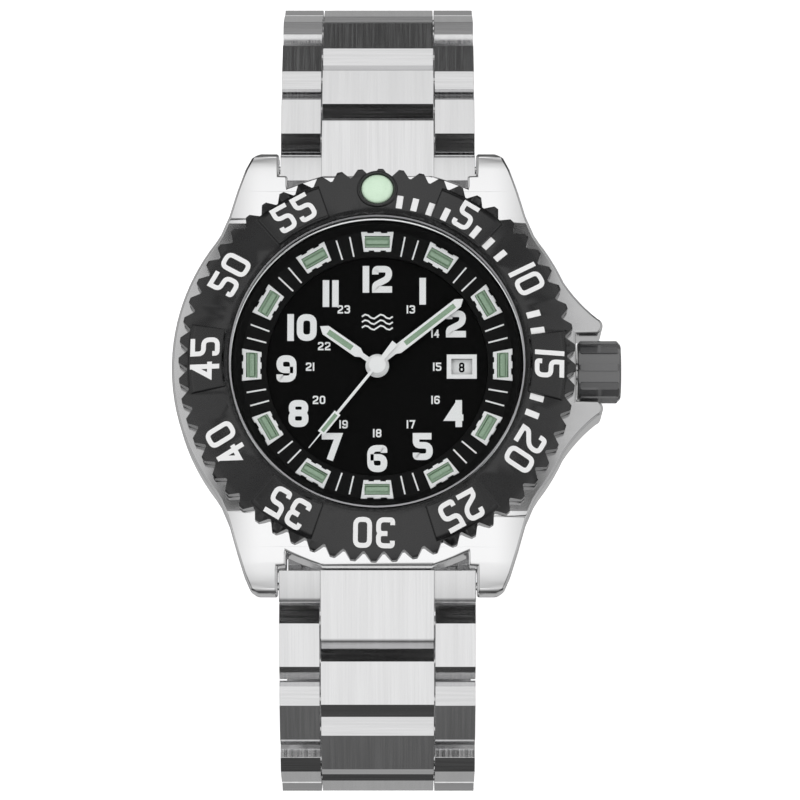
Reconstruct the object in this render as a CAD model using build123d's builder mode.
# Dive watch with a rotating bezel, quartz movement, link bracelet and folding clasp.
# Millimetres. +Z leaves the dial, +Y points to 12 o'clock, +X to the crown at 3 o'clock.
# The origin lies on the clasp's flat underside, straight below the centre of the dial.
import os
from math import cos, pi, radians, sin

from build123d import *

# --- driving dimensions -------------------------------------------------------
lug_width = 22.0
bracelet_width = 21.8
centre_row_width = 12.6
row_gap = 0.12

link_pitch = 8.8
link_half_thickness = 1.7
link_end_reach = 2.15
link_end_gap = 0.2
link_end_half_height = 0.5
link_bevel = 1.8
link_pin_radius = 0.6
pin_clearance = 0.05
pin_fit = 0.01

first_hinge_y = 27.3
first_hinge_z = -0.6
end_link_slope = 13
upper_link_slopes = [28.4, 40.7, 68.3, 95.0, 119.8, 143.9, 163.4]
lower_link_slopes = [22.9, 46.0, 81.3, 104.0, 125.8, 145.8, 163.2]

bezel_tip_radius = 21.8
bezel_root_radius = 20.85
bezel_inner_radius = 16.42
bezel_tooth_count = 60
bezel_turn = -1.0
bezel_bottom = 8.3
bezel_top = 12.6

case_radius = 22.65
case_bottom = 0.9
case_top = 8.15
neck_radius = 17.4
neck_top = 11.75

dial_bottom = 7.8
dial_top = 8.2
dial_radius = 14.8
chapter_inner_radius = 12.2
crystal_radius = 16.25
crystal_bottom = 10.3
crystal_top = 12.4

crown_axis = 4.5
crown_radius = 3.45
crown_inner_x = 22.1
crown_outer_x = 26.9

cover_plate_thickness = 1.0
cover_plate_gap = 2.4
clasp_hinge_y = -15.0
blade_length = 28.0
blade_half_width = 7.5

hour_angle = 305
minute_angle = 52
second_angle = 219


def chain_points(slopes):
    """Hinge centres of one bracelet half, from the end link outwards, as (distance from the dial, height)."""
    points = [(first_hinge_y, first_hinge_z)]
    for slope in slopes:
        y, z = points[-1]
        points.append((y + link_pitch * cos(radians(slope)), z - link_pitch * sin(radians(slope))))
    return points


upper_hinges = chain_points(upper_link_slopes)
lower_hinges = chain_points(lower_link_slopes)
clasp_pin_y, clasp_pin_height = upper_hinges[-1]
clasp_tail_y = -lower_hinges[-1][0]
clasp_tail_height = lower_hinges[-1][1]

# Height of the caseback's face above the clasp's underside: every other height is measured from that face.
caseback_height = cover_plate_gap + cover_plate_thickness - clasp_pin_height


def level(height):
    """Horizontal plane at a height above the caseback's face."""
    return Plane.XY.offset(caseback_height + height)


# Upright plane through the dial's axis: its x runs out to 3 o'clock and its y runs up.
turning_plane = Plane(origin=(0, 0, caseback_height), x_dir=(1, 0, 0), z_dir=(0, -1, 0))
dial_axis = Axis((0, 0, 0), (0, 0, 1))
stem_axis = Axis((0, 0, caseback_height + crown_axis), (1, 0, 0))


def side_plane(x):
    """Upright plane across the watch at x: its x runs to 12 o'clock and its y runs up."""
    return Plane(origin=(x, 0, caseback_height), x_dir=(0, 1, 0), z_dir=(1, 0, 0))


def chain_plane(side, y, z, slope):
    """Plane of a link's profile: x runs along the bracelet away from the case, y runs out of its face."""
    along = (0, side * cos(radians(slope)), -sin(radians(slope)))
    return Plane(origin=(0, side * y, caseback_height + z), x_dir=along, z_dir=(side, 0, 0))


def save(part, name):
    part.label = name
    os.makedirs("parts", exist_ok=True)
    export_step(part, "parts/" + name + ".step")


# --- case ---------------------------------------------------------------------
lug_tip_y = 24.75
lug_bend_y = 16.0
lug_inner_x = lug_width / 2
case_flat_y = 21.85
guard_tip = (24.85, 4.6)
guard_inner_y = 3.8
crown_seat_x = 21.9
spring_bar_y = 23.5
spring_bar_height = 1.1
spring_bar_radius = 0.75
spring_tip_radius = 0.45
tube_radius = 1.1
click_spring_radius = 19.4

lug_outline = [
    (lug_inner_x - 1, 12),
    (18.4, 13.1),
    (17.3, 14.8),
    (16.4, 16.9),
    (15.55, 19.9),
    (14.7, 22.6),
    (14.0, 24.2),
    (13.2, lug_tip_y),
    (lug_inner_x - 1, lug_tip_y),
]

with BuildPart() as case_body:
    with BuildSketch(level(case_bottom)):
        Circle(case_radius)
        for turn in (0, 180):
            with Locations(Location((0, 0, 0), (0, 0, turn))):
                Polygon(*lug_outline, align=None)
        with BuildSketch(mode=Mode.PRIVATE) as mirrored_lugs:
            Polygon(*lug_outline, align=None)
        add(mirror(mirrored_lugs.sketch, Plane.YZ))
        add(mirror(mirrored_lugs.sketch, Plane.XZ))
        # Crown guards: a hollowed flank that ends in a round tip beside the crown.
        with BuildSketch(mode=Mode.PRIVATE) as guard:
            with BuildLine():
                ThreePointArc((20.0, 10.4), (22.0, 7.6), (24.3, 5.4))
                ThreePointArc((24.3, 5.4), guard_tip, (24.3, guard_inner_y))
                Polyline((24.3, guard_inner_y), (18, guard_inner_y - 2), (18, 10.4), (20.0, 10.4))
            make_face()
        add(guard.sketch)
        add(mirror(guard.sketch, Plane.XZ))
    extrude(amount=case_top - case_bottom)
    # The flank seen from the side: the lugs run down and out from under the bezel.
    with BuildSketch(side_plane(-30)):
        with BuildLine():
            Line((0, 0.5), (17, 0.5))
            Line((17, 0.5), (23.6, 0.15))
            Line((23.6, 0.15), (lug_tip_y, 0.7))
            Line((lug_tip_y, 0.7), (lug_tip_y, 4.1))
            ThreePointArc((lug_tip_y, 4.1), (24.57, 4.6), (24.15, 4.95))
            ThreePointArc((24.15, 4.95), (20.25, 7.12), (lug_bend_y, case_top))
            Line((lug_bend_y, case_top), (0, case_top))
            Line((0, case_top), (0, 0.5))
        make_face()
        mirror(about=Plane.YZ)
    extrude(amount=60, mode=Mode.INTERSECT)
    # Space for the end links, and the flat that the crown sits on.
    with BuildSketch(level(-2)):
        with Locations((0, case_flat_y + 5), (0, -case_flat_y - 5)):
            Rectangle(lug_width, 10)
    extrude(amount=14, mode=Mode.SUBTRACT)
    with BuildSketch(level(-2)):
        with Locations((crown_seat_x + 5, 0)):
            Rectangle(10, 2 * guard_inner_y)
    extrude(amount=14, mode=Mode.SUBTRACT)
    # Neck that carries the bezel and the crystal.
    with BuildSketch(turning_plane):
        with BuildLine():
            Polyline(
                (14, case_top - 1),
                (neck_radius, case_top - 1),
                (neck_radius, 9.2),
                (neck_radius - 0.35, 9.2),
                (neck_radius - 0.35, 9.75),
                (neck_radius, 9.75),
                (neck_radius, neck_top),
                (14, neck_top),
                close=True,
            )
        make_face()
    revolve(axis=dial_axis)
    # Inside, from the caseback's counterbore up to the crystal's seat.
    with BuildSketch(turning_plane):
        with BuildLine():
            Polyline(
                (0, -1),
                (17.4, -1),
                (17.4, 1.6),
                (16.95, 1.6),
                (16.95, 2.2),
                (15.95, 2.2),
                (15.95, 3.4),
                (15.0, 3.4),
                (15.0, dial_bottom),
                (15.95, dial_bottom),
                (15.95, crystal_bottom),
                (16.7, crystal_bottom),
                (16.7, neck_top + 1),
                (0, neck_top + 1),
                close=True,
            )
        make_face()
    revolve(axis=dial_axis, mode=Mode.SUBTRACT)
    # Bore of the crown tube, and blind holes in the lugs for the spring bars' tips.
    with BuildSketch(Plane.YZ.offset(12)):
        with Locations((0, caseback_height + crown_axis)):
            Circle(tube_radius)
    extrude(amount=12, mode=Mode.SUBTRACT)
    with BuildSketch(side_plane(-lug_inner_x - 1.5)):
        with Locations((spring_bar_y, spring_bar_height), (-spring_bar_y, spring_bar_height)):
            Circle(spring_tip_radius + pin_clearance)
    extrude(amount=lug_width + 3, mode=Mode.SUBTRACT)
    # A pocket under the bezel for the click spring.
    with BuildSketch(level(case_top - 0.5)):
        with Locations((-click_spring_radius, 0)):
            Rectangle(1.3, 9)
    extrude(amount=1, mode=Mode.SUBTRACT)
save(case_body.part, "case_body")

# --- caseback -----------------------------------------------------------------
caseback_radius = 17.3
notch_count = 6

with BuildPart() as caseback:
    with BuildSketch(turning_plane):
        with BuildLine():
            Polyline(
                (0, 0),
                (16.2, 0),
                (caseback_radius, 0.7),
                (caseback_radius, 1.6),
                (15.9, 1.6),
                (15.9, 3.0),
                (14.6, 3.0),
                (14.6, 1.5),
                (0, 1.5),
                close=True,
            )
        make_face()
    revolve(axis=dial_axis)
    with BuildSketch(level(0)):
        with PolarLocations(caseback_radius - 0.6, notch_count):
            Rectangle(1.8, 2.6)
    extrude(amount=0.8, mode=Mode.SUBTRACT)
    with BuildSketch(level(0)):
        Circle(12.4)
        Circle(12.0, mode=Mode.SUBTRACT)
    extrude(amount=0.15, mode=Mode.SUBTRACT)
save(caseback.part, "caseback")


def turned_ring(points):
    """A ring or disc turned about the dial's axis from a closed outline of (radius, height) points."""
    with BuildPart() as ring:
        with BuildSketch(turning_plane):
            with BuildLine():
                Polyline(*points, close=True)
            make_face()
        revolve(axis=dial_axis)
    return ring.part


def ring_outline(inner, outer, low, high):
    return [(inner, low), (outer, low), (outer, high), (inner, high)]


save(turned_ring(ring_outline(16.05, 16.9, 1.62, 2.18)), "caseback_gasket")

# --- crystal and its gasket -----------------------------------------------------
crystal_outline = [
    (0, crystal_bottom),
    (crystal_radius, crystal_bottom),
    (crystal_radius, crystal_top - 0.35),
    (crystal_radius - 0.35, crystal_top),
    (0, crystal_top),
]
save(turned_ring(crystal_outline), "crystal")
save(turned_ring(ring_outline(16.26, 16.69, crystal_bottom, neck_top)), "crystal_gasket")

# --- bezel ----------------------------------------------------------------------
block_minutes = [5, 15, 25, 35, 45, 55]
block_span = 21.4
block_outer_radius = 20.7
recess_depth = 0.42
rim_radius = 17.0
pearl_radius = 1.6
pearl_socket_radius = 2.15
pearl_distance = 19.3
pearl_direction = 90
pearl_floor = 10.9
bezel_bore_radius = neck_radius + 0.06


def minute_direction(minute):
    """Angle in degrees, counted from +X, of a minute on the turned bezel."""
    return 90 - 6 * minute + bezel_turn


def turned_direction(angle, distance):
    """Point on the dial's plane at an angle from +X."""
    return (distance * cos(radians(angle)), distance * sin(radians(angle)))


with BuildPart() as bezel_ring:
    with BuildSketch(turning_plane):
        with BuildLine():
            Polyline(
                (bezel_bore_radius, bezel_bottom),
                (bezel_tip_radius - 0.5, bezel_bottom),
                (bezel_tip_radius, bezel_bottom + 0.5),
                (bezel_tip_radius, 10.3),
                (bezel_root_radius, 10.85),
                (rim_radius, bezel_top - recess_depth),
                (bezel_inner_radius + 0.2, bezel_top - recess_depth),
                (bezel_inner_radius, bezel_top - recess_depth - 0.15),
                (bezel_inner_radius, neck_top + 0.1),
                (bezel_bore_radius, neck_top + 0.1),
                close=True,
            )
        make_face()
    revolve(axis=dial_axis)
    # The valleys between the sixty pointed teeth are cut from the rim.
    with BuildSketch(level(bezel_bottom - 1)):
        with PolarLocations(0, bezel_tooth_count, start_angle=bezel_turn):
            tooth_turn = 360 / bezel_tooth_count
            Polygon(
                turned_direction(0.1 * tooth_turn, bezel_tip_radius + 0.05),
                turned_direction(0.45 * tooth_turn, bezel_root_radius),
                turned_direction(0.55 * tooth_turn, bezel_root_radius),
                turned_direction(0.9 * tooth_turn, bezel_tip_radius + 0.05),
                turned_direction(0.5 * tooth_turn, bezel_tip_radius + 1),
                align=None,
            )
    extrude(amount=6, mode=Mode.SUBTRACT)
    # Six raised blocks carry the odd fives.
    for minute in block_minutes:
        start = radians(minute_direction(minute) + block_span / 2)
        block_plane = Plane(
            origin=(0, 0, caseback_height),
            x_dir=(cos(start), sin(start), 0),
            z_dir=(sin(start), -cos(start), 0),
        )
        with BuildSketch(block_plane):
            with BuildLine():
                Polyline(
                    (rim_radius - 0.2, bezel_top - recess_depth - 0.1),
                    (block_outer_radius, 10.5),
                    (block_outer_radius, 11.1),
                    (block_outer_radius - 0.35, 11.5),
                    (rim_radius, bezel_top),
                    (rim_radius - 0.2, bezel_top - 0.1),
                    close=True,
                )
            make_face()
        revolve(axis=dial_axis, revolution_arc=-block_span)
    # Socket of the luminous pearl at the zero mark.
    with BuildSketch(level(pearl_floor)):
        with Locations(turned_direction(pearl_direction, pearl_distance)):
            Circle(pearl_socket_radius - 0.4)
    extrude(amount=3, mode=Mode.SUBTRACT)
    # Underside ratchet: a ring of fine notches that the click spring's tip drops into.
    with BuildSketch(level(bezel_bottom)):
        with PolarLocations(19.5, 120):
            Rectangle(0.9, 0.35)
    extrude(amount=0.35, mode=Mode.SUBTRACT)
save(bezel_ring.part, "bezel_ring")

pearl_centre = turned_direction(pearl_direction, pearl_distance)
with BuildPart() as bezel_pearl:
    with BuildSketch(level(pearl_floor)):
        with Locations(pearl_centre):
            Circle(pearl_socket_radius - 0.4)
    extrude(amount=0.5)
    with BuildSketch(level(pearl_floor + 0.5)):
        with Locations(pearl_centre):
            Circle(pearl_radius)
    extrude(amount=0.9)
    fillet(bezel_pearl.faces().sort_by(Axis.Z)[-1].edges(), radius=0.85)
save(bezel_pearl.part, "bezel_pearl")

with BuildPart() as bezel_click_spring:
    with BuildSketch(level(case_top - 0.45)):
        with Locations((-click_spring_radius, 0)):
            Rectangle(0.9, 8.4)
    extrude(amount=0.2)
    with BuildSketch(level(case_top - 0.25)):
        with Locations((-click_spring_radius, 3.4)):
            Rectangle(0.9, 1.2)
    extrude(amount=0.35)
save(bezel_click_spring.part, "bezel_click_spring")

# --- crown and winding stem -----------------------------------------------------
rib_count = 10
crown_flat_distance = 3.2
rib_width = 0.85
stem_radius = 0.55
tube_inner_radius = stem_radius + pin_clearance
tube_inner_x = 15.3
tube_outer_x = 23.2
crown_bore_radius = 1.55
crown_bore_depth = 1.4

crown_face = Plane.YZ.offset(crown_inner_x)
crown_centre = (0, caseback_height + crown_axis)

with BuildPart() as crown:
    with BuildSketch(crown_face):
        with Locations(crown_centre):
            RegularPolygon(
                crown_flat_distance,
                rib_count,
                major_radius=False,
                rotation=180 / rib_count,
            )
    extrude(amount=crown_outer_x - crown_inner_x)
    # A round-ended rib stands on each corner of the barrel.
    rib_length = crown_outer_x - crown_inner_x - 0.3
    for rib in range(rib_count):
        angle = radians(90 + 360 / rib_count * rib)
        rib_plane = Plane(
            origin=((crown_inner_x + crown_outer_x) / 2, 0, caseback_height + crown_axis),
            x_dir=(1, 0, 0),
            z_dir=(0, cos(angle), sin(angle)),
        )
        with BuildSketch(rib_plane.offset(crown_flat_distance - 0.4)):
            SlotOverall(rib_length, rib_width)
        extrude(amount=crown_radius + 0.4 - crown_flat_distance)
    with BuildSketch(Plane(origin=(0, 0, caseback_height + crown_axis), x_dir=(1, 0, 0), z_dir=(0, -1, 0))):
        with BuildLine():
            Polyline(
                (crown_inner_x, 0),
                (crown_inner_x, crown_radius - 0.35),
                (crown_inner_x + 0.4, crown_radius + 0.1),
                (crown_outer_x - 0.5, crown_radius + 0.1),
                (crown_outer_x, crown_radius - 0.45),
                (crown_outer_x, 0),
                close=True,
            )
        make_face()
    revolve(axis=stem_axis, mode=Mode.INTERSECT)
    with BuildSketch(crown_face):
        with Locations(crown_centre):
            Circle(crown_bore_radius)
    extrude(amount=crown_bore_depth, mode=Mode.SUBTRACT)
    with BuildSketch(crown_face):
        with Locations(crown_centre):
            Circle(stem_radius)
    extrude(amount=crown_bore_depth + 1.8, mode=Mode.SUBTRACT)
save(crown.part, "crown")


def stem_ring(inner, outer, near, far):
    """A ring or tube on the winding stem's axis."""
    with BuildPart() as tube:
        with BuildSketch(Plane.YZ.offset(near)):
            with Locations(crown_centre):
                Circle(outer)
                if inner:
                    Circle(inner, mode=Mode.SUBTRACT)
        extrude(amount=far - near)
    return tube.part


save(stem_ring(tube_inner_radius, tube_radius, tube_inner_x, tube_outer_x), "crown_tube")
gasket_start = crown_inner_x + 0.3
gasket_end = crown_inner_x + 0.9
save(stem_ring(tube_radius + 0.04, crown_bore_radius, gasket_start, gasket_end), "crown_gasket")

with BuildPart() as winding_stem:
    with BuildSketch(Plane.YZ.offset(6.8)):
        with Locations(crown_centre):
            Circle(0.4)
    extrude(amount=2.6)
    with BuildSketch(Plane.YZ.offset(9.4)):
        with Locations(crown_centre):
            Circle(0.28)
    extrude(amount=0.5)
    with BuildSketch(Plane.YZ.offset(9.9)):
        with Locations(crown_centre):
            Circle(0.45)
    extrude(amount=tube_inner_x - 9.9)
    with BuildSketch(Plane.YZ.offset(tube_inner_x)):
        with Locations(crown_centre):
            Circle(stem_radius)
    extrude(amount=crown_inner_x + crown_bore_depth + 1.8 - tube_inner_x)
save(winding_stem.part, "winding_stem")

# A fork in the stem's neck: it slides with the stem and holds it at its two positions.
with BuildPart() as setting_lever:
    with BuildSketch(level(3.6)):
        with Locations((9.65, -1.6)):
            Rectangle(1.6, 3.6)
    extrude(amount=0.3)
    with BuildSketch(level(3.9)):
        with Locations((9.65, -0.62)):
            Rectangle(0.42, 0.6)
    extrude(amount=1.0)
save(setting_lever.part, "setting_lever")

# --- dial -----------------------------------------------------------------------
date_window_x = 9.3
date_window_size = (2.3, 1.75)
date_frame_size = (3.3, 2.7)
chapter_outer_radius = 15.9
marker_radius = 13.83
marker_count = 12
chapter_slope = 0.75 / 2.7

dial_face = [
    (1.1, dial_bottom),
    (dial_radius, dial_bottom),
    (dial_radius, dial_top),
    (1.1, dial_top),
]
with BuildPart() as dial:
    add(turned_ring(dial_face))
    with BuildSketch(level(dial_bottom - 1)):
        with Locations((date_window_x, 0)):
            Rectangle(*date_window_size)
    extrude(amount=3, mode=Mode.SUBTRACT)
save(dial.part, "dial")

with BuildPart() as date_window_frame:
    with BuildSketch(level(dial_top)):
        with Locations((date_window_x, 0)):
            Rectangle(*date_frame_size)
            Rectangle(*date_window_size, mode=Mode.SUBTRACT)
    extrude(amount=0.12)
save(date_window_frame.part, "date_window_frame")

# Sloping chapter ring between the dial and the crystal.
chapter_outline = [
    (chapter_inner_radius, dial_top),
    (15.0, dial_top),
    (15.0, 8.3),
    (chapter_outer_radius, 8.3),
    (chapter_outer_radius, crystal_bottom - 0.05),
    (15.6, crystal_bottom - 0.05),
    (15.1, 9.6),
    (14.9, 9.35),
    (chapter_inner_radius, 8.6),
]
save(turned_ring(chapter_outline), "chapter_ring")


def marker_plane(index, distance):
    """Plane on the chapter ring's slope at an hour: x along the rim, y outwards."""
    direction = radians(90 - 360 * index / marker_count)
    height = 8.67 + (distance - chapter_inner_radius) * chapter_slope
    slope = radians(15.5)
    return Plane(
        origin=(distance * cos(direction), distance * sin(direction), caseback_height + height),
        x_dir=(sin(direction), -cos(direction), 0),
        z_dir=(-sin(slope) * cos(direction), -sin(slope) * sin(direction), cos(slope)),
    )


tube_length = 2.75
tube_width = 1.3
with BuildPart() as hour_markers:
    for index in range(marker_count):
        with BuildSketch(marker_plane(index, marker_radius)):
            Polygon((-1.5, -1.1), (1.5, -1.1), (1.8, 1.1), (-1.8, 1.1), align=None)
            Rectangle(tube_length, tube_width, mode=Mode.SUBTRACT)
            with Locations((-0.75, 1.1), (0.75, 1.1)):
                Rectangle(0.7, 0.28, mode=Mode.SUBTRACT)
            with Locations((-0.65, -1.1), (0.65, -1.1)):
                Rectangle(0.6, 0.28, mode=Mode.SUBTRACT)
        extrude(amount=0.22)
save(hour_markers.part, "hour_markers")

with BuildPart() as marker_tubes:
    for index in range(marker_count):
        with BuildSketch(marker_plane(index, marker_radius)):
            Rectangle(tube_length - 0.06, tube_width - 0.06)
        extrude(amount=0.16)
        with BuildSketch(marker_plane(index, marker_radius).offset(0.16)):
            Rectangle(tube_length - 0.1, 0.7)
        extrude(amount=0.12)
save(marker_tubes.part, "marker_tubes")

# --- hands ----------------------------------------------------------------------
hour_hand_height = 8.75
minute_hand_height = 9.2
second_hand_height = 9.65
hour_pipe_radius = 0.95
minute_pipe_radius = 0.68
second_post_radius = 0.3


def hand_plane(clock_angle, height):
    """Plane of a hand at its height: y runs along the hand to its tip."""
    direction = radians(90 - clock_angle)
    return Plane(
        origin=(0, 0, caseback_height + height),
        x_dir=(sin(direction), -cos(direction), 0),
        z_dir=(0, 0, 1),
    )


def baton_hand(length, width, hub_radius, hole_radius, clock_angle, height, neck):
    """A baton hand with a pointed tip and a slim neck beside its hub."""
    plane = hand_plane(clock_angle, height)
    with BuildPart() as hand:
        with BuildSketch(plane):
            Polygon(
                (-0.28, 0),
                (-0.28, neck),
                (-width / 2, neck + 0.5),
                (-width / 2, length - 0.75),
                (0, length),
                (width / 2, length - 0.75),
                (width / 2, neck + 0.5),
                (0.28, neck),
                (0.28, 0),
                align=None,
            )
            Circle(hub_radius)
        extrude(amount=0.15)
        with BuildSketch(plane.offset(0.15)):
            Circle(hub_radius - 0.1)
        extrude(amount=0.12)
        with BuildSketch(plane.offset(-0.1)):
            Circle(hole_radius)
        extrude(amount=1, mode=Mode.SUBTRACT)
    return hand.part


save(baton_hand(7.7, 1.15, 1.3, hour_pipe_radius, hour_angle, hour_hand_height, 2.1), "hour_hand")
save(baton_hand(12.0, 1.1, 1.15, minute_pipe_radius, minute_angle, minute_hand_height, 2.4), "minute_hand")

second_plane = hand_plane(second_angle, second_hand_height)
with BuildPart() as second_hand:
    with BuildSketch(second_plane):
        Polygon(
            (-0.16, 0),
            (-0.16, 6.6),
            (-0.08, 9.8),
            (-0.05, 11.9),
            (0.05, 11.9),
            (0.08, 9.8),
            (0.16, 6.6),
            (0.16, 0),
            align=None,
        )
        with Locations((0, 8.35)):
            Rectangle(0.82, 2.9)
        Polygon((-0.2, 0), (-0.38, -3.1), (0.38, -3.1), (0.2, 0), align=None)
        Circle(0.95)
    extrude(amount=0.12)
    with BuildSketch(second_plane.offset(-0.2)):
        Circle(0.5)
    extrude(amount=0.2)
    with BuildSketch(second_plane.offset(-0.3)):
        Circle(second_post_radius - 0.05)
    extrude(amount=0.4, mode=Mode.SUBTRACT)
save(second_hand.part, "second_hand")

# --- movement -------------------------------------------------------------------
plate_bottom = 5.0
plate_top = 6.2
plate_radius = 13.0
arbor_radius = 0.2
bridge_bottom = 2.95
bridge_top = 3.35
third_direction = 200
intermediate_direction = 320
rotor_direction = 250
motion_direction = 100
train_distance = 4.0
rotor_distance = 3.3
motion_distance = 3.6
third_axis = turned_direction(third_direction, train_distance)
intermediate_axis = turned_direction(intermediate_direction, train_distance)
rotor_step = turned_direction(rotor_direction, rotor_distance)
rotor_axis = (intermediate_axis[0] + rotor_step[0], intermediate_axis[1] + rotor_step[1])
motion_axis = turned_direction(motion_direction, motion_distance)
pillars = [(0, 6.0), (6.0, 0), (-5.5, -5.5)]
battery_centre = (-4.5, 8.0)
battery_radius = 3.4
board_centre = (7.4, 5.0)
board_size = (4.6, 5.4)

with BuildPart() as movement_holder:
    add(turned_ring(ring_outline(13.1, 14.9, 3.45, 7.3)))
    with BuildSketch(Plane.YZ.offset(12)):
        with Locations(crown_centre):
            Circle(0.8)
    extrude(amount=4, mode=Mode.SUBTRACT)
save(movement_holder.part, "movement_holder")


def gear(centre, module, teeth, low, high, bore=0.0, turn=0.0):
    """A toothed wheel with straight-flanked teeth; its pitch radius is module * teeth / 2."""
    pitch = module * teeth / 2
    root = pitch - 1.15 * module
    tip = pitch + 0.75 * module
    half_tooth = 90 / teeth
    with BuildPart() as wheel:
        with BuildSketch(level(low)):
            with Locations(centre):
                Circle(root)
                with PolarLocations(0, teeth, start_angle=turn):
                    Polygon(
                        turned_direction(-1.15 * half_tooth, root - 0.05),
                        turned_direction(-0.4 * half_tooth, tip),
                        turned_direction(0.4 * half_tooth, tip),
                        turned_direction(1.15 * half_tooth, root - 0.05),
                        align=None,
                    )
                if bore:
                    Circle(bore, mode=Mode.SUBTRACT)
        extrude(amount=high - low)
    return wheel.part


def post(centre, radius, low, high, bore=0.0):
    """A round arbor, pipe or pillar standing at a centre."""
    with BuildPart() as column:
        with BuildSketch(level(low)):
            with Locations(centre):
                Circle(radius)
                if bore:
                    Circle(bore, mode=Mode.SUBTRACT)
        extrude(amount=high - low)
    return column.part


def save_wheel(name, *pieces):
    with BuildPart() as wheel:
        for piece in pieces:
            add(piece)
    save(wheel.part, name)


def gap_turn(direction, teeth):
    """Turn that puts a gap between teeth on the side facing back along a direction."""
    return direction + 180 + 180 / teeth


dial_centre = (0, 0)
seconds_module = 0.2
third_module = 2 * train_distance / (60 + 8)
minute_module = 2 * train_distance / (64 + 8)
rotor_module = 2 * rotor_distance / (60 + 6)
work_module = 2 * motion_distance / (36 + 12)
hour_module = 2 * motion_distance / (40 + 10)
save_wheel(
    "seconds_wheel",
    gear(dial_centre, seconds_module, 30, 3.6, 3.8, turn=intermediate_direction),
    gear(dial_centre, third_module, 8, 3.8, 4.3, turn=third_direction),
    post(dial_centre, arbor_radius, 3.0, second_hand_height + 0.1),
)
save_wheel(
    "third_wheel",
    gear(third_axis, third_module, 60, 4.0, 4.2, turn=gap_turn(third_direction, 60)),
    gear(third_axis, minute_module, 8, 4.5, 4.9, turn=gap_turn(third_direction, 8)),
    post(third_axis, arbor_radius, 3.0, 5.8),
)
save_wheel(
    "minute_wheel",
    gear(dial_centre, minute_module, 64, 4.6, 4.8, bore=0.3, turn=third_direction),
    post(dial_centre, 0.5, 4.8, minute_hand_height, bore=0.3),
    gear(dial_centre, work_module, 12, 6.3, 6.6, bore=0.3, turn=motion_direction),
    post(dial_centre, minute_pipe_radius, minute_hand_height - 0.25, minute_hand_height + 0.15, bore=0.3),
)
save_wheel(
    "intermediate_wheel",
    gear(intermediate_axis, seconds_module, 10, 3.55, 3.85, turn=gap_turn(intermediate_direction, 10)),
    gear(intermediate_axis, rotor_module, 60, 4.35, 4.5, turn=rotor_direction),
    post(intermediate_axis, arbor_radius, 3.0, 5.8),
)
save_wheel(
    "rotor",
    gear(rotor_axis, rotor_module, 6, 4.3, 4.55, turn=gap_turn(rotor_direction, 6)),
    post(rotor_axis, 0.75, 3.5, 4.2),
    post(rotor_axis, arbor_radius, 3.0, 5.8),
)
save_wheel(
    "minute_work_wheel",
    gear(motion_axis, work_module, 36, 6.35, 6.55, turn=gap_turn(motion_direction, 36)),
    gear(motion_axis, hour_module, 10, 6.55, 7.1, turn=gap_turn(motion_direction, 10)),
    post(motion_axis, arbor_radius, 5.4, 7.2),
)
save_wheel(
    "hour_wheel",
    gear(dial_centre, hour_module, 40, 6.8, 7.0, bore=0.56, turn=motion_direction),
    post(dial_centre, hour_pipe_radius - 0.25, 7.0, hour_hand_height, bore=0.56),
    post(dial_centre, hour_pipe_radius, hour_hand_height - 0.3, hour_hand_height + 0.15, bore=0.56),
)

wheel_axes = [third_axis, intermediate_axis, rotor_axis]
with BuildPart() as main_plate:
    with BuildSketch(level(plate_bottom)):
        Circle(plate_radius)
        Circle(0.56, mode=Mode.SUBTRACT)
    extrude(amount=plate_top - plate_bottom)
    with BuildSketch(level(plate_bottom)):
        with Locations(*wheel_axes):
            Circle(arbor_radius + 0.03)
    extrude(amount=0.85, mode=Mode.SUBTRACT)
    with BuildSketch(level(5.35)):
        with Locations(motion_axis):
            Circle(arbor_radius + 0.03)
    extrude(amount=1, mode=Mode.SUBTRACT)
    with BuildSketch(level(bridge_top)):
        with Locations(*pillars):
            Circle(0.6)
    extrude(amount=plate_bottom - bridge_top)
    with BuildSketch(level(3.8)):
        with Locations(
            (board_centre[0] - 1.5, board_centre[1] - 2),
            (board_centre[0] + 1.2, board_centre[1] + 1.6),
        ):
            Circle(0.5)
    extrude(amount=plate_bottom - 3.8)
    # Date ring seat on the dial side.
    with BuildSketch(level(plate_top)):
        Circle(plate_radius)
        Circle(7.2, mode=Mode.SUBTRACT)
    extrude(amount=1.15)
save(main_plate.part, "main_plate")

with BuildPart() as train_bridge:
    with BuildSketch(level(bridge_bottom)):
        with BuildLine(mode=Mode.PRIVATE) as rims:
            for centre in [*pillars, rotor_axis]:
                CenterArc(centre, 1.0, 0, 360)
        make_hull(rims.edges())
        with Locations(dial_centre, *wheel_axes):
            Circle(arbor_radius + 0.03, mode=Mode.SUBTRACT)
    extrude(amount=bridge_top - bridge_bottom)
save(train_bridge.part, "train_bridge")

with BuildPart() as battery:
    with BuildSketch(level(2.4)):
        with Locations(battery_centre):
            Circle(battery_radius - 0.35)
    extrude(amount=0.3)
    with BuildSketch(level(2.7)):
        with Locations(battery_centre):
            Circle(battery_radius)
    extrude(amount=2.2)
save(battery.part, "battery")

with BuildPart() as battery_clamp:
    with BuildSketch(level(2.15)):
        with Locations(battery_centre):
            Rectangle(1.4, 8.4)
    extrude(amount=0.2)
    with BuildSketch(level(2.35)):
        with Locations((battery_centre[0], battery_centre[1] - 3.95)):
            Rectangle(1.4, 0.4)
    extrude(amount=plate_bottom - 2.35)
save(battery_clamp.part, "battery_clamp")

with BuildPart() as circuit_board:
    with BuildSketch(level(3.5)):
        with Locations(board_centre):
            Rectangle(*board_size)
    extrude(amount=0.3)
    with BuildSketch(level(3.0)):
        with Locations((board_centre[0], board_centre[1] + 0.6)):
            Rectangle(2.2, 2.2)
    extrude(amount=0.5)
save(circuit_board.part, "circuit_board")

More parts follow.
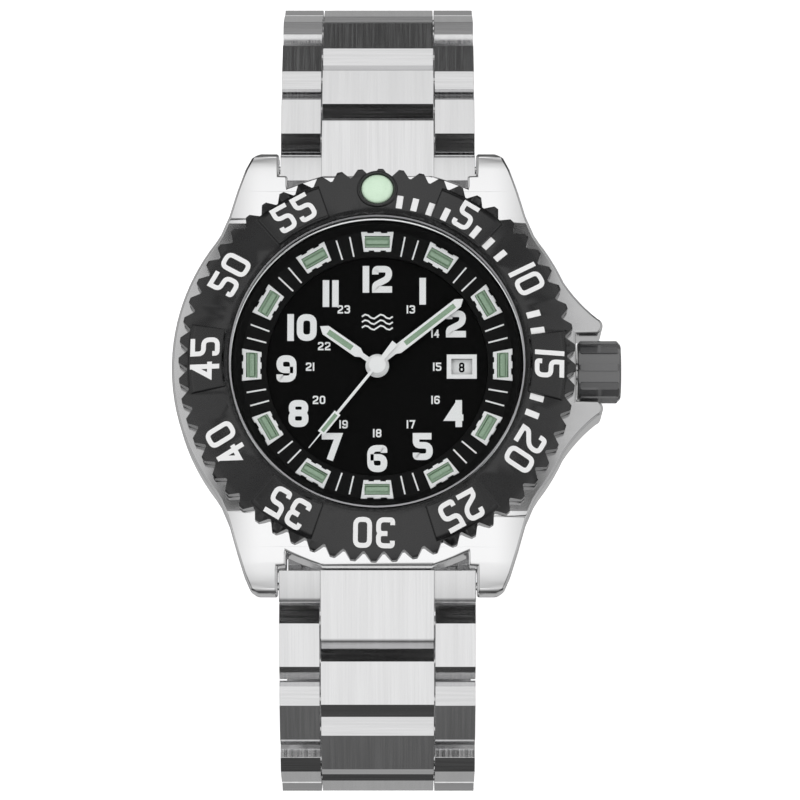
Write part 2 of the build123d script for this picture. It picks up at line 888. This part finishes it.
coil_y = -9.2
with BuildPart() as stator:
    with BuildSketch(level(3.65)):
        with Locations((rotor_axis[0] + 0.4, rotor_axis[1])):
            Rectangle(6.0, 3.4)
        with Locations((rotor_axis[0] - 4.4, coil_y + 1.2), (rotor_axis[0] + 4.4, coil_y + 1.2)):
            Rectangle(2.8, 3.6)
        with Locations((rotor_axis[0] - 1.2, rotor_axis[1] - 1.2)):
            Rectangle(9.0, 1.0)
        with Locations((rotor_axis[0], rotor_axis[1])):
            Circle(1.05, mode=Mode.SUBTRACT)
    extrude(amount=0.3)
save(stator.part, "stator")

with BuildPart() as coil:
    with BuildSketch(Plane.YZ.offset(rotor_axis[0] - 2.9)):
        with Locations((coil_y, caseback_height + 3.8)):
            Circle(1.1)
    extrude(amount=5.8)
save(coil.part, "coil")

date_disc_outline = ring_outline(7.6, 12.3, 7.42, 7.66)
save(turned_ring(date_disc_outline), "date_disc")

# --- bracelet -------------------------------------------------------------------
half_width = bracelet_width / 2
centre_half_width = centre_row_width / 2
side_width = half_width - centre_half_width - row_gap
pin_half_length = half_width - 0.35


def block_outline(start):
    """Profile of one block: a flat with a bevel at each end, above and below."""
    near = start - link_end_reach
    far = start + link_pitch - link_end_reach - link_end_gap
    low, high = link_end_half_height, link_half_thickness
    return [
        (near, -low),
        (near, low),
        (near + link_bevel, high),
        (far - link_bevel, high),
        (far, low),
        (far, -low),
        (far - link_bevel, -high),
        (near + link_bevel, -high),
    ]


def link(side, hinge, slope):
    """A link: two side blocks, the centre block half a pitch further on, and its two pins."""
    plane = chain_plane(side, *hinge, slope)
    middle = link_pitch / 2
    with BuildPart() as pieces:
        for start in (-half_width, half_width - side_width):
            with BuildSketch(plane.offset(start)):
                Polygon(*block_outline(0), align=None)
                with Locations((0, 0), (middle, 0)):
                    Circle(link_pin_radius + pin_fit, mode=Mode.SUBTRACT)
            extrude(amount=side_width)
        with BuildSketch(plane.offset(-centre_half_width)):
            Polygon(*block_outline(middle), align=None)
            with Locations((middle, 0)):
                Circle(link_pin_radius + pin_fit, mode=Mode.SUBTRACT)
            with Locations((link_pitch, 0)):
                Circle(link_pin_radius + pin_clearance, mode=Mode.SUBTRACT)
        extrude(amount=centre_row_width)
        with BuildSketch(plane.offset(-pin_half_length)):
            with Locations((0, 0), (middle, 0)):
                Circle(link_pin_radius)
        extrude(amount=2 * pin_half_length)
    return pieces.part


def end_link(side):
    """Full-width link that fills the gap between the lugs, with the first centre tongue."""
    plane = chain_plane(side, first_hinge_y, first_hinge_z, end_link_slope)
    low, high = link_end_half_height, link_half_thickness
    inner = -8.0
    side_end = -link_end_reach - link_end_gap
    with BuildPart() as piece:
        for start, width, reach in (
            (-half_width, bracelet_width, side_end),
            (-centre_half_width, centre_row_width, link_end_reach),
        ):
            with BuildSketch(plane.offset(start)):
                Polygon(
                    (inner, high + 1.2),
                    (reach - 0.6, high),
                    (reach, high - 0.45),
                    (reach, -low),
                    (reach - link_bevel, -high),
                    (inner, -high),
                    align=None,
                )
            extrude(amount=width)
        with BuildSketch(plane.offset(-half_width)):
            Circle(link_pin_radius + pin_clearance)
        extrude(amount=bracelet_width, mode=Mode.SUBTRACT)
        with BuildSketch(side_plane(-half_width)):
            with Locations((side * spring_bar_y, spring_bar_height)):
                Circle(spring_bar_radius + pin_clearance)
        extrude(amount=bracelet_width, mode=Mode.SUBTRACT)
        with BuildSketch(level(-10)):
            Rectangle(2 * half_width + 2, 2 * case_flat_y + 0.2)
        extrude(amount=20, mode=Mode.SUBTRACT)
    return piece.part


save(end_link(1), "end_link_upper")
save(end_link(-1), "end_link_lower")
for side, name, slopes, hinges in (
    (1, "upper_link", upper_link_slopes, upper_hinges),
    (-1, "lower_link", lower_link_slopes, lower_hinges),
):
    for number, (slope, hinge) in enumerate(zip(slopes, hinges), start=1):
        save(link(side, hinge, slope), f"{name}_{number}")


def cross_bar(places, radius, half_length, tip_radius=0.0, tip_half_length=0.0):
    """Bars across the bracelet at (y, height) places, with thinner tips where they are asked for."""
    with BuildPart() as bars:
        with BuildSketch(side_plane(-half_length)):
            with Locations(*places):
                Circle(radius)
        extrude(amount=2 * half_length)
        if tip_radius:
            with BuildSketch(side_plane(-tip_half_length)):
                with Locations(*places):
                    Circle(tip_radius)
            extrude(amount=2 * tip_half_length)
    return bars.part


lug_bar_places = [(spring_bar_y, spring_bar_height), (-spring_bar_y, spring_bar_height)]
save(
    cross_bar(lug_bar_places, spring_bar_radius, half_width - 0.1, spring_tip_radius, half_width + 1.4),
    "lug_spring_bars",
)

# --- folding clasp --------------------------------------------------------------
cover_wall = 1.5
cover_floor = clasp_pin_height - cover_plate_gap
cover_underside = cover_floor - cover_plate_thickness
cover_rim = clasp_pin_height + 1.3
cover_tail_y = clasp_hinge_y - 2.0
cover_head_y = clasp_pin_y + 2.4
fold_axis = (clasp_hinge_y, clasp_pin_height - 1.1)
elbow_axis = (clasp_hinge_y + blade_length, clasp_pin_height + 0.1)
tail_axis = (clasp_tail_y, clasp_tail_height)
knuckle_radius = 1.0
elbow_knuckle_half_width = 3.0
outer_blade_low = clasp_pin_height - 1.0
inner_blade_low = clasp_pin_height + 0.2
blade_thickness = 0.8
button_y = 4.0
button_height = clasp_pin_height - 0.6

with BuildPart() as clasp_cover:
    with BuildSketch(side_plane(-half_width)):
        Polygon(
            (cover_tail_y + 0.7, cover_underside),
            (cover_head_y - 0.7, cover_underside),
            (cover_head_y, cover_underside + 0.5),
            (cover_head_y, cover_floor),
            (cover_tail_y, cover_floor),
            (cover_tail_y, cover_underside + 0.5),
            align=None,
        )
    extrude(amount=bracelet_width)
    for start in (-half_width, half_width - cover_wall):
        with BuildSketch(side_plane(start)):
            Polygon(
                (cover_tail_y, cover_floor - 0.1),
                (clasp_pin_y, cover_floor - 0.1),
                (clasp_pin_y, cover_rim),
                (cover_tail_y + 1.2, cover_rim),
                (cover_tail_y, cover_rim - 1.2),
                align=None,
            )
            with Locations((clasp_pin_y, clasp_pin_height)):
                Circle(2.0)
            with Locations((clasp_pin_y, clasp_pin_height), fold_axis):
                Circle(link_pin_radius + pin_fit, mode=Mode.SUBTRACT)
            with Locations((button_y, button_height)):
                RectangleRounded(4.2, 2.0, 0.5, mode=Mode.SUBTRACT)
        extrude(amount=cover_wall)
    chamfer(clasp_cover.faces().sort_by(Axis.Z)[0].edges().filter_by(Axis.Y), length=0.4)
save(clasp_cover.part, "clasp_cover")
save(cross_bar([(clasp_pin_y, clasp_pin_height), fold_axis], link_pin_radius, pin_half_length), "clasp_pins")

with BuildPart() as clasp_outer_blade:
    with BuildSketch(side_plane(-blade_half_width)):
        Polygon(
            (fold_axis[0], outer_blade_low),
            (elbow_axis[0] - knuckle_radius - 0.35, outer_blade_low),
            (elbow_axis[0] - knuckle_radius - 0.35, outer_blade_low + blade_thickness),
            (fold_axis[0], outer_blade_low + blade_thickness),
            align=None,
        )
        with Locations(fold_axis):
            Circle(knuckle_radius)
    extrude(amount=2 * blade_half_width)
    with BuildSketch(side_plane(-elbow_knuckle_half_width)):
        Polygon(
            (elbow_axis[0] - knuckle_radius - 2, outer_blade_low),
            (elbow_axis[0], outer_blade_low),
            (elbow_axis[0], outer_blade_low + blade_thickness),
            (elbow_axis[0] - knuckle_radius - 2, outer_blade_low + blade_thickness),
            align=None,
        )
        with Locations(elbow_axis):
            Circle(knuckle_radius)
    extrude(amount=2 * elbow_knuckle_half_width)
    with BuildSketch(side_plane(-blade_half_width)):
        with Locations(fold_axis):
            Circle(link_pin_radius + pin_clearance)
        with Locations(elbow_axis):
            Circle(link_pin_radius + pin_fit)
    extrude(amount=2 * blade_half_width, mode=Mode.SUBTRACT)
    with BuildSketch(level(outer_blade_low)):
        with Locations((0, clasp_hinge_y + blade_length / 2)):
            SlotOverall(16, 6, rotation=90)
    extrude(amount=blade_thickness, mode=Mode.SUBTRACT)
    # The elbow's pin is a solid of its own.
    with BuildSketch(side_plane(-blade_half_width + 0.1)):
        with Locations(elbow_axis):
            Circle(link_pin_radius)
    extrude(amount=2 * blade_half_width - 0.2)
save(clasp_outer_blade.part, "clasp_outer_blade")

ear_radius = 1.5
ear_width = 1.05
web_y = tail_axis[0] + link_end_reach + link_end_gap
with BuildPart() as clasp_inner_blade:
    with BuildSketch(side_plane(-blade_half_width)):
        Polygon(
            (web_y, inner_blade_low),
            (elbow_axis[0] - knuckle_radius - 0.35, inner_blade_low),
            (elbow_axis[0] - knuckle_radius - 0.35, inner_blade_low + blade_thickness),
            (web_y, inner_blade_low + blade_thickness),
            align=None,
        )
    extrude(amount=2 * blade_half_width)
    for start in (-blade_half_width, elbow_knuckle_half_width + 0.1):
        with BuildSketch(side_plane(start)):
            Polygon(
                (elbow_axis[0] - knuckle_radius - 2, inner_blade_low),
                (elbow_axis[0], inner_blade_low),
                (elbow_axis[0], inner_blade_low + blade_thickness),
                (elbow_axis[0] - knuckle_radius - 2, inner_blade_low + blade_thickness),
                align=None,
            )
            with Locations(elbow_axis):
                Circle(knuckle_radius)
                Circle(link_pin_radius + pin_clearance, mode=Mode.SUBTRACT)
        extrude(amount=blade_half_width - elbow_knuckle_half_width - 0.1)
    for start in (-blade_half_width, blade_half_width - ear_width):
        with BuildSketch(side_plane(start)):
            Polygon(
                (tail_axis[0], inner_blade_low),
                (web_y + 0.5, inner_blade_low),
                (web_y + 0.5, inner_blade_low + blade_thickness),
                (tail_axis[0], inner_blade_low + blade_thickness),
                align=None,
            )
            with Locations(tail_axis):
                Circle(ear_radius)
                Circle(link_pin_radius, mode=Mode.SUBTRACT)
        extrude(amount=ear_width)
    with BuildSketch(level(inner_blade_low)):
        with Locations((0, clasp_hinge_y + blade_length / 2 - 4)):
            SlotOverall(18, 5, rotation=90)
    extrude(amount=blade_thickness, mode=Mode.SUBTRACT)
save(clasp_inner_blade.part, "clasp_inner_blade")


def push_button(side):
    """Side button: a rounded head through the cover's wall with a flange behind it."""
    with BuildPart() as button:
        with BuildSketch(side_plane(side * (half_width - cover_wall - 0.1))):
            with Locations((button_y, button_height)):
                RectangleRounded(4.0, 1.8, 0.4)
        extrude(amount=side * 2.4)
        with BuildSketch(side_plane(side * (half_width - cover_wall - 0.8))):
            with Locations((button_y, button_height)):
                Rectangle(5.2, 2.8)
        extrude(amount=side * 0.7)
    return button.part


save(push_button(1), "clasp_button_right")
save(push_button(-1), "clasp_button_left")
